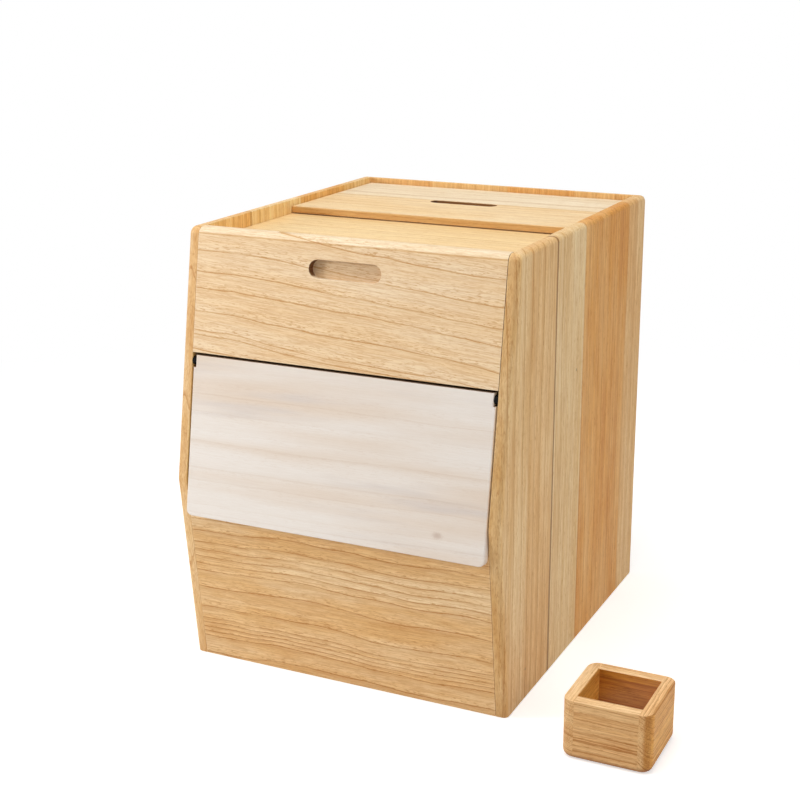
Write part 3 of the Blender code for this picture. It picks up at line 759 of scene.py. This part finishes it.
class RICEBOX_OT_front(bpy.types.Operator):
    """Wood of the two leaning front boards"""

    bl_idname = "ricebox.front"
    bl_label = "Front Boards"

    def execute(self, context):
        paints, sizes = looks().colours, looks().grain
        # Painted light and shade: the recess's left end in deep painted shade, painted shade on the lower
        # edge and the recess's ceiling, a painted shade line where the lip starts, and a painted highlight
        # on the lip.
        recess_end_shade = Facing(X, 1, (0.20, 0.11, 0.05))
        lower_edge_shade = Facing(Z, -1, (0.35, 0.24, 0.14), start=0.5)
        lip_shade_line = Facing(Z, 1, (0.84, 0.74, 0.60), start=0.18, full=0.25)
        lip_highlight = Facing(Z, 1, (1.26, 1.58, 2.20), start=0.34, full=0.48)
        upper = Wood(
            paints.front_upper, sizes.front_upper_ring, lean=(-0.072, 0.0), rows=FRONT_UPPER_ROWS,
            wander=0.010, uneven=0.0, line_width=0.20, faint=-0.2, seed=2.4,
            line=0.95, band=0.16, figure=0.5, streak=0.35, pore=0.8, fibre=0.42, wear_and_sheen=0.4,
            line_tint=(0.62, 0.39, 0.17), figure_tint=(0.95, 0.83, 0.63),
            painted_light=(recess_end_shade, lower_edge_shade, lip_shade_line, lip_highlight))
        lower = Wood(
            paints.front_lower, sizes.front_lower_ring, lean=(0.015, 0.0), rows=FRONT_LOWER_ROWS,
            wander=0.011, uneven=0.0, line_width=0.20, faint=-0.2, seed=5.2,
            line=1.0, band=0.36, figure=1.0, streak=0.45, pore=0.8, fibre=0.42, wear_and_sheen=0.3,
            line_tint=(0.53, 0.31, 0.12), figure_tint=(0.90, 0.75, 0.52))
        dress(["front_upper_panel"], wood_material("Front upper board", upper))
        dress(["front_lower_panel"], wood_material("Front lower board", lower))
        return {"FINISHED"}


# How far the last strip of a glued-up board is taken past the board's edge.
STRIP_SPARE = 0.01


class RICEBOX_OT_sides(bpy.types.Operator):
    """Upright staves of the two sides"""

    bl_idname = "ricebox.sides"
    bl_label = "Sides"

    def execute(self, context):
        paints, sizes = looks().colours, looks().grain
        seam = (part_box("side_front_right")[1].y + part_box("side_rear_right")[0].y) / 2
        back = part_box("side_rear_right")[1].y + STRIP_SPARE
        staves = Wood(
            paints.side, sizes.side_ring, fibres=FIBRES_UPRIGHT, heart=(-0.5, 0.4), lean=(0.006, 0.004),
            uneven=1.5, line_width=0.17, faint=0.42,
            line=0.95, band=0.22, figure=0.7, streak=0.95, pore=0.7, fibre=0.42, speck=0.8, wear_and_sheen=0.3,
            line_tint=(0.60, 0.39, 0.20), figure_tint=(0.89, 0.78, 0.60))
        # Painted light on the staves' inner faces, and painted shade on their front edges.
        inner_face_lighting = (1.20, 1.27, 1.22)
        woods = {
            "right": replace(
                staves, seed=1.1, seam=Seam(Y, seam, strength=0.85),
                strips=(Strip(-0.145, 0.22, 0.12), Strip(seam, 0.36, 0.45), Strip(0.008, 0.10, 0.81),
                        Strip(0.152, 0.95, 0.33), Strip(back, 0.50, 0.64)),
                painted_light=(Facing(X, -1, inner_face_lighting), Facing(Y, -1, (0.82, 0.76, 0.70)))),
            "left": replace(
                staves, seed=8.6, seam=Seam(Y, seam, strength=0.3),
                strips=(Strip(-0.128, 0.3, 0.55), Strip(seam, 0.5, 0.91), Strip(0.031, 0.1, 0.27),
                        Strip(0.134, 0.7, 0.72), Strip(back, 0.25, 0.08)),
                painted_light=(Facing(X, 1, inner_face_lighting), Facing(Y, -1, (0.94, 0.92, 0.97)))),
        }
        for hand, wood in woods.items():
            dress([f"side_front_{hand}", f"side_rear_{hand}"], wood_material(f"Side staves, {hand}", wood))
        return {"FINISHED"}


class RICEBOX_OT_top(bpy.types.Operator):
    """Wood of the fixed top board and of the sliding lid"""

    bl_idname = "ricebox.top"
    bl_label = "Top Board and Lid"

    LID_EASE = 1.6  # the lid's rounding, in those of a board
    LID_JOINT = 0.112
    SLOT_HALF = (0.045, 0.012)  # reach of the slot's painted shade from the lid's middle
    SLOT_DEPTHS = (0.008, 0.0007)  # where its painted shade ends and starts, below the lid's top
    # Painted shadow line along the lid's lower front edge: how far it reaches back, up, and past the lid.
    ARRIS_DEPTH, ARRIS_HEIGHT, ARRIS_SPARE = 0.003, 0.0009, 0.001

    def execute(self, context):
        paints, sizes = looks().colours, looks().grain
        board = Wood(
            paints.top_board, sizes.top_ring, heart=(0.14, 0.33), lean=(0.0, 0.012), wander=0.006,
            line_width=0.3, seed=3.7, line=0.6, band=0.2, figure=0.45, pore=0.6, fibre=0.32, wear_and_sheen=0.3)
        low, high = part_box("lid")
        middle = (low + high) / 2
        (reach, half), (deep, brim) = self.SLOT_HALF, self.SLOT_DEPTHS
        # Painted shade in the slot, and a painted shadow line under the lid's front edge.
        slot = PaintedShade((-reach, middle.y - half, high.z - deep), (reach, middle.y + half, high.z - brim),
                      (0.34, 0.22, 0.12))
        arris_shadow = PaintedShade((low.x, low.y - self.ARRIS_SPARE, low.z - self.ARRIS_SPARE),
                       (high.x, low.y + self.ARRIS_DEPTH, low.z + self.ARRIS_HEIGHT), (0.40, 0.26, 0.11))
        # Painted shade on the faces that look to the front, and on the slot's left end.
        front_edge_shade = Facing(Y, -1, (0.71, 0.55, 0.34))
        slot_end_shade = Facing(X, 1, (0.4, 0.28, 0.18))
        lid = Wood(
            paints.lid, sizes.top_ring, heart=(-0.05, 0.36), lean=(0.0, -0.01), wander=0.006,
            line_width=0.3, seed=6.1, line=0.6, band=0.2, figure=0.4, pore=0.6, fibre=0.32, wear_and_sheen=0.4,
            strips=(Strip(self.LID_JOINT, 1.0, 0.2), Strip(high.y + STRIP_SPARE, 0.0, 0.7)),
            strip_tint=(0.96, 0.83, 0.61), painted_light=(front_edge_shade, slot_end_shade), painted_shades=(slot, arris_shadow))
        dress(["front_top_board"], wood_material("Top board", board))
        dress(["lid"], wood_material("Lid strips", lid), sizes.ease * self.LID_EASE)
        return {"FINISHED"}


class RICEBOX_OT_shell(bpy.types.Operator):
    """Wood of the back, the bottom, the baffle and the lid's rails"""

    bl_idname = "ricebox.shell"
    bl_label = "Back, Bottom and Inner Boards"

    def execute(self, context):
        paints, sizes = looks().colours, looks().grain
        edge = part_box("back_panel")[1].x + STRIP_SPARE
        # Painted shade on the back's inner face.
        inner_face_lighting = Facing(Y, -1, (0.88, 0.76, 0.60))
        back = Wood(
            paints.side, sizes.side_ring, fibres=FIBRES_UPRIGHT, heart=(0.2, 0.05), lean=(0.004, 0.006),
            wander=0.006, uneven=1.5, line_width=0.28, faint=0.5, seed=4.3,
            line=0.6, figure=0.6, streak=0.8, pore=0.5, fibre=0.45, speck=0.6, wear_and_sheen=0.3,
            strip_axis=X, painted_light=(inner_face_lighting,),
            strips=(Strip(-0.082, 0.3, 0.4), Strip(0.012, 0.05, 0.85), Strip(0.094, 0.55, 0.15),
                    Strip(edge, 0.2, 0.6)))
        inner = Wood(
            paints.inside, sizes.side_ring, heart=(-0.07, 0.11), lean=(0.01, 0.004), wander=0.007,
            line_width=0.26, seed=9.4, line=0.4, band=0.2, figure=0.45, pore=0.4, fibre=0.16, wear_and_sheen=0.2,
            rough=(0.62, 0.78))
        rails = Wood(
            paints.inside, sizes.cup_ring, fibres=FIBRES_FRONT_TO_BACK, heart=(0.05, 0.4), seed=2.9,
            line=0.35, band=0.2, figure=0.4, pore=0.4, fibre=0.16, wear_and_sheen=0.25, rough=(0.6, 0.76))
        dress(["back_panel"], wood_material("Back staves", back))
        dress(["bottom_board", "inner_baffle", "lid_rail_rear"], wood_material("Inner boards", inner))
        dress(["lid_rail_left", "lid_rail_right"], wood_material("Lid rails", rails))
        return {"FINISHED"}


class RICEBOX_OT_flap(bpy.types.Operator):
    """Whitewashed flap with its steel pins and black washers"""

    bl_idname = "ricebox.flap"
    bl_label = "Flap and Hinge"

    FLAP_EASE = 1.3  # the flap's rounding, in those of a board

    def execute(self, context):
        sizes = looks().grain
        dress(["flap"], whitewash_material("Whitewashed wood"), sizes.ease * self.FLAP_EASE)
        dress(nodes_named("flap_pin"), steel_material("Drawn steel"), sizes.small_ease)
        dress(nodes_named("flap_washer"), nylon_material("Black nylon"), sizes.small_ease)
        return {"FINISHED"}


class RICEBOX_OT_dowels(bpy.types.Operator):
    """Wood of the dowels inside the joints"""

    bl_idname = "ricebox.dowels"
    bl_label = "Dowels"

    def execute(self, context):
        sizes = looks().grain
        wood = Wood(
            looks().colours.dowel, sizes.dowel_ring, heart=(0.02, 0.03), wander=0.001, seed=0.7,
            line=0.3, band=0.2, figure=0.3, pore=0.3, fibre=0.15, wear_and_sheen=0.2, rough=(0.55, 0.7))
        across = wood_material("Dowel wood, across", wood)
        for joint in ("front_upper", "front_lower", "back", "bottom", "top_board"):
            dress(nodes_named(f"{joint}_dowel"), across, sizes.small_ease)
        along = wood_material("Dowel wood, front to back", replace(wood, fibres=FIBRES_FRONT_TO_BACK))
        dress(nodes_named("seam_dowel"), along, sizes.small_ease)
        return {"FINISHED"}


CUP_NODES = ("cup_wall_left", "cup_wall_right", "cup_wall_front", "cup_wall_back", "cup_floor")
CORNER_STEPS = 8  # faces round each upright corner
ROUNDING_STEPS = 6  # levels of the foot's rounding; the rim has half as many
INNER_CORNER = 0.0006
WALL_SPARE = 0.0001  # allowance in telling the inner faces from the outer ones
JOINT_SPARE = 0.0004  # how far the side walls' wood is taken over their joints


def add_object(name, data):
    """A new object in the scene."""
    made = bpy.data.objects.new(name, data)
    bpy.context.scene.collection.objects.link(made)
    return made


def cup_ring(half, corner, joint, height):
    """One level of the cup: a square with rounded corners and a point at each joint of its four walls."""
    straight = half - corner
    joint = min(joint, straight)
    points = []
    for quarter, (x, y) in enumerate(((1, -1), (1, 1), (-1, 1), (-1, -1))):
        for step in range(CORNER_STEPS + 1):
            turn = math.radians(90 * (quarter - 1 + step / CORNER_STEPS))
            out, along = corner * math.cos(turn), corner * math.sin(turn)
            points.append((x * straight + out, y * straight + along, height))
        if y * x > 0:
            points += [(x * joint, y * half, height), (-x * joint, y * half, height)]
    return points


def cup_levels(half, height, inner, floor, corner, foot, rim):
    """The cup's levels from the middle of its underside, up outside, over the rim and down inside."""
    turns = [math.radians(90 * step / ROUNDING_STEPS) for step in range(ROUNDING_STEPS + 1)]
    levels = []
    for turn in turns:
        inset = foot * (1 - math.sin(turn))
        levels.append(cup_ring(half - inset, corner - inset, inner, foot * (1 - math.cos(turn))))
    for turn in turns[::2]:
        inset = rim * (1 - math.cos(turn))
        levels.append(cup_ring(half - inset, corner - inset, inner, height - rim * (1 - math.sin(turn))))
    for turn in turns[::-2]:
        inset = rim * (1 - math.cos(turn))
        levels.append(cup_ring(inner + inset, INNER_CORNER, inner, height - rim * (1 - math.sin(turn))))
    levels.append(cup_ring(inner, INNER_CORNER, inner, floor))
    return levels


class RICEBOX_OT_cup(bpy.types.Operator):
    """Measuring cup of darker wood, its glued joints closed"""

    bl_idname = "ricebox.cup"
    bl_label = "Measuring Cup"

    corner: length("Upright corners", "Rounding of the cup's upright corners", 0.011)
    foot: length("Foot", "Rounding round the cup's foot", 0.007)
    rim: length("Rim", "Rounding of the cup's rim", 0.0012)

    def execute(self, context):
        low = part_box("cup_wall_left")[0]
        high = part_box("cup_wall_right")[1]
        middle = (low + high) / 2
        half = (high.x - low.x) / 2
        inner = half - (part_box("cup_wall_left")[1].x - low.x)
        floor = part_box("cup_floor")[1].z
        levels = cup_levels(half, high.z, inner, floor, self.corner, self.foot, self.rim)
        count = len(levels[0])
        points = [(middle.x + x, middle.y + y, z) for level in levels for x, y, z in level]
        faces = [tuple(range(count))[::-1], tuple(range(len(points) - count, len(points)))]
        for level in range(len(levels) - 1):
            below, above = level * count, (level + 1) * count
            for here in range(count):
                after = (here + 1) % count
                faces.append((below + here, below + after, above + after, above + here))
        mesh = bpy.data.meshes.new("measuring_cup")
        mesh.from_pydata(points, [], faces)
        mesh.validate()
        cup = add_object("measuring_cup", mesh)
        for wood in self.woods():
            mesh.materials.append(wood)
        # Faces inside the cup take the darker materials of painted shade.
        for face in mesh.polygons:
            off_x, off_y = abs(face.center.x - middle.x), abs(face.center.y - middle.y)
            inside = max(off_x, off_y) < inner + WALL_SPARE and face.center.z > floor / 2
            beside = off_x > inner - JOINT_SPARE
            face.material_index = 2 * inside + beside
        shade_evenly(cup)
        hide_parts(*CUP_NODES)
        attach(cup, "cup")
        return {"FINISHED"}

    def woods(self):
        """Wood of the front and back walls and of the left and right walls, outside and then inside, the
        inside darker as painted shade.
        """
        paint = looks().colours.cup
        walls = Wood(
            paint, looks().grain.cup_ring, wander=0.003, line_width=0.35,
            line=1.0, band=0.35, figure=0.6, streak=0.7, pore=0.7, fibre=0.5, wear_and_sheen=0.6,
            line_tint=(0.50, 0.32, 0.15), figure_tint=(0.86, 0.72, 0.54))
        # Painted light and shade: a painted highlight on the rim, painted shade on the faces turned to the
        # right, painted light on the right wall, a slightly cooler front wall, a painted shadow round the
        # foot, and painted shade on the floor inside.
        rim = Facing(Z, 1, (1.28, 1.44, 1.80))
        rightward_shade = Facing(X, 1, (0.74, 0.56, 0.26), start=0.2, full=0.55)
        right_wall_light = Facing(X, 1, (1.39, 1.54, 1.65), start=0.75, full=0.97)
        front_wall_light = Facing(Y, -1, (0.97, 0.98, 1.02))
        foot = Facing(Z, -1, (0.60, 0.48, 0.34), start=0.03, full=0.5)
        cup_floor = Facing(Z, 1, (0.9, 0.85, 0.8))
        plain = (1.0, 1.0, 1.0)
        made = []
        # The inside gets darker copies of the wood, as painted shade.
        for place, across_tint, along_tint, painted_light in (
                ("outside", plain, plain, (rim, rightward_shade, right_wall_light, front_wall_light, foot)),
                ("inside", (0.66, 0.40, 0.085), (1.0, 0.82, 0.36), (cup_floor,))):
            across = replace(walls, pale=shaded(paint, *across_tint), heart=(-0.12, -0.05), seed=1.9,
                             painted_light=painted_light)
            along = replace(walls, pale=shaded(paint, *along_tint), fibres=FIBRES_FRONT_TO_BACK,
                            heart=(-0.24, -0.07), seed=5.8, painted_light=painted_light)
            made.append(wood_material(f"Cup wood across, {place}", across))
            made.append(wood_material(f"Cup wood front to back, {place}", along))
        return made


# Square soft lamps: degrees from the front and above the horizon, then distance and size.
Lamp = namedtuple("Lamp", "name turn height distance size")
LAMPS = {
    "key": Lamp("Key lamp", turn=-54, height=16, distance=1.8, size=0.225),
    "top": Lamp("Top lamp", turn=-20, height=75, distance=2.0, size=1.6),
    "fill": Lamp("Fill lamp", turn=70, height=25, distance=2.6, size=1.6),
}

SENSOR_WIDTH = 36  # millimetres
CAMERA_RANGE = (0.05, 50)
FLOOR_REACH = 6.0
FLOOR_DROP = 0.0004  # keeps the floor clear of the undersides that stand on it
FLOOR_FADE = (0.6, 1.3)  # distance from the middle over which the floor turns white
FLOOR_GLOW = 0.5


def add_lamp(lamp, watts):
    """A lamp that looks at the middle of the object."""
    light = bpy.data.lights.new(lamp.name, "AREA")
    light.shape = "SQUARE"
    light.size = lamp.size
    light.energy = watts
    turn, height = math.radians(lamp.turn), math.radians(lamp.height)
    level = math.cos(height)
    outward = Vector((math.sin(turn) * level, -math.cos(turn) * level, math.sin(height)))
    low, high = CAD_BOX
    made = add_object(lamp.name, light)
    made.location = (low + high) / 2 + outward * lamp.distance
    made.rotation_euler = outward.to_track_quat("Z", "Y").to_euler()


def background_rays(sheet):
    """1 for the rays that show the background: straight, mirrored or through glass."""
    seen = sheet.add("ShaderNodeLightPath").outputs
    return sheet.math("MAXIMUM", seen["Is Camera Ray"],
                      sheet.math("MAXIMUM", seen["Is Glossy Ray"], seen["Is Transmission Ray"]))


class RICEBOX_OT_stage(bpy.types.Operator):
    """Camera, lamps, plain floor and even sky"""

    bl_idname = "ricebox.stage"
    bl_label = "Stage"

    def execute(self, context):
        stage = looks().stage
        scene = context.scene
        scene.view_settings.view_transform = "Standard"
        self.add_camera(scene, stage)
        self.add_floor(stage)
        self.add_sky(scene, stage)
        for name, lamp in LAMPS.items():
            add_lamp(lamp, getattr(stage, name))
        return {"FINISHED"}

    def add_camera(self, scene, stage):
        data = bpy.data.cameras.new("Camera")
        data.lens = stage.lens
        data.sensor_width = SENSOR_WIDTH
        data.shift_y = stage.rise
        data.clip_start, data.clip_end = CAMERA_RANGE
        camera = add_object("Camera", data)
        camera.location = stage.camera_place
        camera.rotation_euler = (math.pi / 2 - stage.camera_dip, 0, stage.camera_turn)
        scene.camera = camera

    def add_floor(self, stage):
        corners = [(x * FLOOR_REACH, y * FLOOR_REACH, 0) for x, y in ((-1, -1), (1, -1), (1, 1), (-1, 1))]
        mesh = bpy.data.meshes.new("Floor")
        mesh.from_pydata(corners, [], [(0, 1, 2, 3)])
        floor = add_object("Floor", mesh)
        floor.location.z = -FLOOR_DROP
        material = bpy.data.materials.new("Pale floor")
        sheet = empty_sheet(material)
        plain = sheet.add("ShaderNodeBsdfDiffuse", {"Color": opaque(stage.floor)})
        place = sheet.add("ShaderNodeTexCoord").outputs["Object"]
        away = sheet.span(sheet.vector("LENGTH", place), FLOOR_FADE)
        shown = background_rays(sheet)
        glow = sheet.add("ShaderNodeEmission", {
            "Color": WHITE, "Strength": sheet.times(shown, FLOOR_GLOW)})
        white = sheet.add("ShaderNodeEmission", {"Color": WHITE, "Strength": 1.0})
        near = sheet.add("ShaderNodeAddShader", {0: plain.outputs[0], 1: glow.outputs[0]})
        far = sheet.times(away, shown)
        both = sheet.add("ShaderNodeMixShader", {0: far, 1: near.outputs[0], 2: white.outputs[0]})
        sheet.add("ShaderNodeOutputMaterial", {"Surface": both.outputs[0]})
        mesh.materials.append(material)

    def add_sky(self, scene, stage):
        world = bpy.data.worlds.new("Even sky")
        sheet = empty_sheet(world)
        strength = sheet.span(background_rays(sheet), (0.0, 1.0), (stage.sky, 1.0), smooth=False)
        sky = sheet.add("ShaderNodeBackground", {"Color": WHITE, "Strength": strength})
        sheet.add("ShaderNodeOutputWorld", {"Surface": sky.outputs[0]})
        scene.world = world


class RICEBOX_PT_looks(bpy.types.Panel):
    """Lists the pieces in the order in which they are made"""

    bl_idname = "RICEBOX_PT_looks"
    bl_label = "Rice Box"
    bl_space_type = "VIEW_3D"
    bl_region_type = "UI"
    bl_category = "Rice Box"

    def draw(self, context):
        column = self.layout.column(align=True)
        for operator in OPERATORS:
            column.operator(operator.bl_idname)
        settings = context.scene.rice_box_looks
        for group in (settings.colours, settings.grain, settings.stage):
            column = self.layout.column(align=True)
            for name in group.bl_rna.properties.keys():
                if name not in ("rna_type", "name"):
                    column.prop(group, name)


OPERATORS = (
    RICEBOX_OT_front,
    RICEBOX_OT_sides,
    RICEBOX_OT_top,
    RICEBOX_OT_shell,
    RICEBOX_OT_flap,
    RICEBOX_OT_dowels,
    RICEBOX_OT_cup,
    RICEBOX_OT_stage,
)
CLASSES = (RiceBoxColours, RiceBoxGrain, RiceBoxStage, RiceBoxLooks, *OPERATORS, RICEBOX_PT_looks)


def register():
    for cls in CLASSES:
        bpy.utils.register_class(cls)
    bpy.types.Scene.rice_box_looks = bpy.props.PointerProperty(type=RiceBoxLooks)


def unregister():
    del bpy.types.Scene.rice_box_looks
    for cls in reversed(CLASSES):
        bpy.utils.unregister_class(cls)


def main():
    register()
    for operator in OPERATORS:
        group, name = operator.bl_idname.split(".")
        getattr(getattr(bpy.ops, group), name)()


if __name__ == "__main__":
    main()
